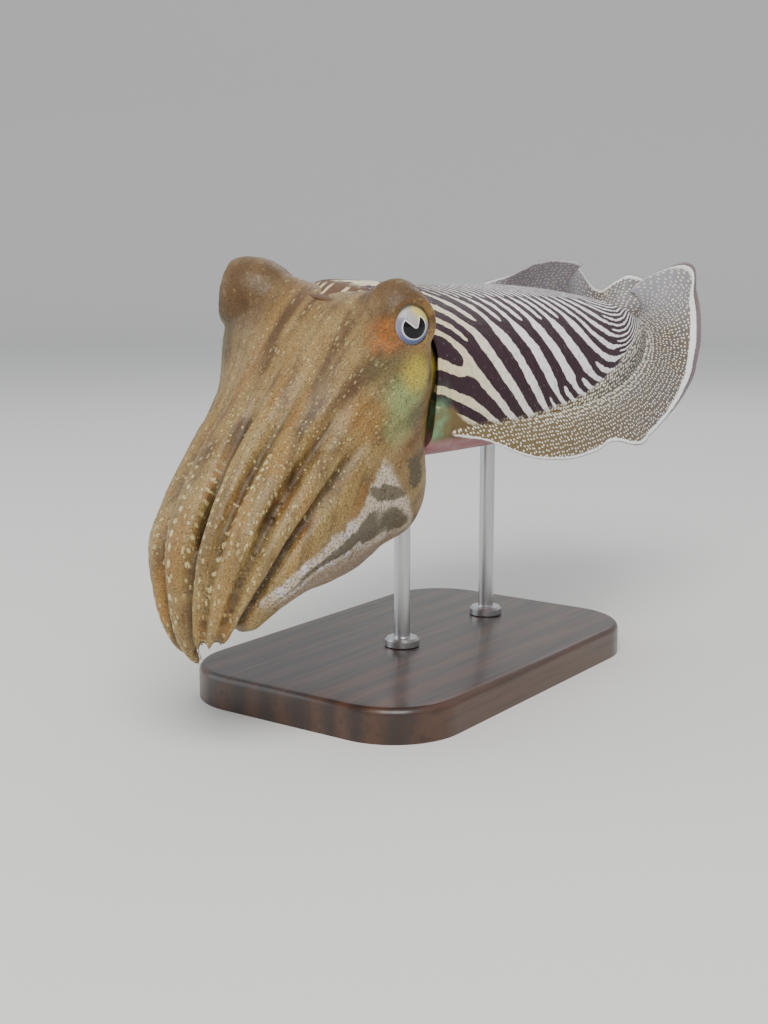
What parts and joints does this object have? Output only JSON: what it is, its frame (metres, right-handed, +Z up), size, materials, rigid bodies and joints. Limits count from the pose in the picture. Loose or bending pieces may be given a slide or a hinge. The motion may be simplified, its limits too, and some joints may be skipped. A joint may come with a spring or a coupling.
{
  "type": "common cuttlefish model",
  "caption": "Life-size still model of a common cuttlefish with curled arms and rippling fins, held on two rods over a flat base.",
  "frame": {"origin": "middle of the underside of the stand's base", "axes": "+Z up, +X towards the tail, -X towards the head and arms, -Y towards the animal's left side"},
  "size_m": [0.3045, 0.1194, 0.1558],
  "materials": {
    "mantle_skin": "satin, dark purple-brown with white zebra stripes",
    "head_skin": "satin, mottled tan-brown",
    "fin_skin": "satin, olive-brown with white dots",
    "eye": "glossy, silver-grey with a black W-shaped pupil",
    "stand_wood": "dark, satin varnish",
    "stand_steel": "brushed"
  },
  "bodies": {
    "root": {"mantle": "mantle_skin", "head": "head_skin", "funnel": "head_skin", "fin_left": "fin_skin", "fin_right": "fin_skin", "eye_left": "eye", "eye_right": "eye", "stand_base": "stand_wood", "stand_rod_front": "stand_steel", "stand_rod_back": "stand_steel", "arm_left_1_base": "head_skin", "arm_left_1_middle": "head_skin", "arm_left_1_tip": "head_skin", "arm_left_2_base": "head_skin", "arm_left_2_middle": "head_skin", "arm_left_2_tip": "head_skin", "arm_left_3_base": "head_skin", "arm_left_3_middle": "head_skin", "arm_left_3_tip": "head_skin", "arm_left_4_base": "head_skin", "arm_left_4_middle": "head_skin", "arm_left_4_tip": "head_skin", "arm_right_1_base": "head_skin", "arm_right_1_middle": "head_skin", "arm_right_1_tip": "head_skin", "arm_right_2_base": "head_skin", "arm_right_2_middle": "head_skin", "arm_right_2_tip": "head_skin", "arm_right_3_base": "head_skin", "arm_right_3_middle": "head_skin", "arm_right_3_tip": "head_skin", "arm_right_4_base": "head_skin", "arm_right_4_middle": "head_skin", "arm_right_4_tip": "head_skin"}
  },
  "joints": []
}
